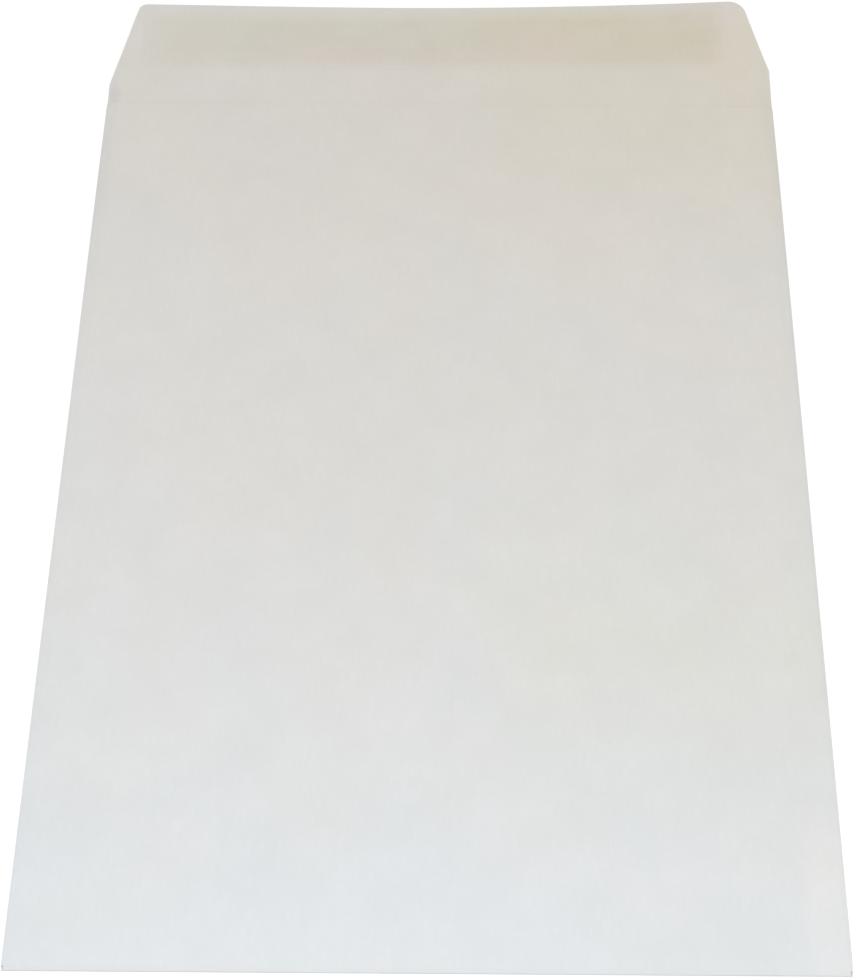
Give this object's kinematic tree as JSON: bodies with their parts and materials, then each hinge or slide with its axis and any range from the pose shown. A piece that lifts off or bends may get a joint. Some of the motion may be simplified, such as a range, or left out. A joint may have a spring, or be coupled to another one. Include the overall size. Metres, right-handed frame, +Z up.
{
  "type": "pocket envelope",
  "caption": "Large white paper pocket envelope, lying open: folded sheet with glued side seams, open throat and a tapered closing flap with a dried gum strip.",
  "frame": {"origin": "on the surface that the envelope lies on, below the middle of its whole opened length and width", "axes": "+X across the pocket, to the right as seen from the bottom fold with the back panel up; +Y from the bottom fold to the closing flap; +Z up, out of the back panel"},
  "size_m": [0.229, 0.366, 0.0066],
  "materials": {
    "paper": "matte",
    "dried_gum": "satin"
  },
  "bodies": {
    "root": {"envelope": "paper", "gum_strip": "dried_gum"}
  },
  "joints": []
}
